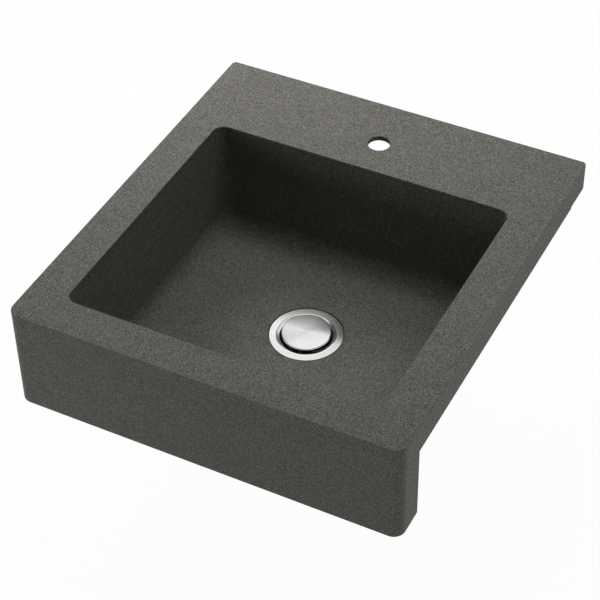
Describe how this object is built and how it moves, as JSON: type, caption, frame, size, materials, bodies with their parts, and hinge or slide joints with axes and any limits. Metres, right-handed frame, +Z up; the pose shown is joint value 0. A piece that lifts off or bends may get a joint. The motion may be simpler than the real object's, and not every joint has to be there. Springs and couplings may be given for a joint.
{
  "type": "apron-front sink",
  "caption": "Apron-front moulded stone-composite sink with a deep rectangular bowl, a rear tap ledge with a tap hole, and a push-to-close waste fitting.",
  "frame": {"origin": "middle of the deck's back edge, on the plane where the turned-down edge rests on its cabinet", "axes": "+X to the right seen from the front, +Y towards the wall behind, +Z up"},
  "size_m": [0.61, 0.671, 0.3644],
  "materials": {
    "stone": "matt, finely speckled",
    "polished_steel": "polished",
    "turned_steel": "circular brushed",
    "brushed_steel": "brushed",
    "black_rubber": "matt",
    "fibre": "matt",
    "cast_zinc": "cast",
    "white_washer": "soft",
    "white_plastic": "moulded",
    "acetal": "moulded",
    "spring_steel": "drawn wire",
    "brass": "turned"
  },
  "bodies": {
    "sink": {"basin": "stone", "drain_body": "polished_steel", "strainer_plate": "brushed_steel", "flange_seal": "black_rubber", "under_washer": "black_rubber", "fibre_washer": "fibre", "lock_nut": "cast_zinc", "tail_washer": "white_washer", "tail_nut": "white_plastic", "tailpiece": "white_plastic", "lock_barrel": "brass", "lock_plug": "brass", "o_ring": "black_rubber", "lock_spring": "spring_steel"},
    "stopper": {"stopper_cap": "turned_steel", "stopper_seal": "black_rubber", "seal_keeper": "brushed_steel", "stopper_stem": "brushed_steel", "stem_nut": "brass", "lock_plunger": "acetal"},
    "cam": {"lock_rotor": "acetal"}
  },
  "joints": [
    {"name": "stopper_slide", "type": "slide", "parent": "sink", "child": "stopper", "axis": [0, 0, 1], "range_m": [-0.0095, 0], "stiffness_N_per_m": 600, "springref_m": 0.01, "deforming": ["lock_spring"]},
    {"name": "cam_turn", "type": "hinge", "parent": "stopper", "child": "cam", "pos_m": [0, -0.348, -0.17], "axis": [0, 0, 1], "range_deg": [0, 22.5]}
  ],
  "couplings": [
    {"joint": "cam_turn", "follows": "stopper_slide", "rad_per_m": -41.3}
  ]
}
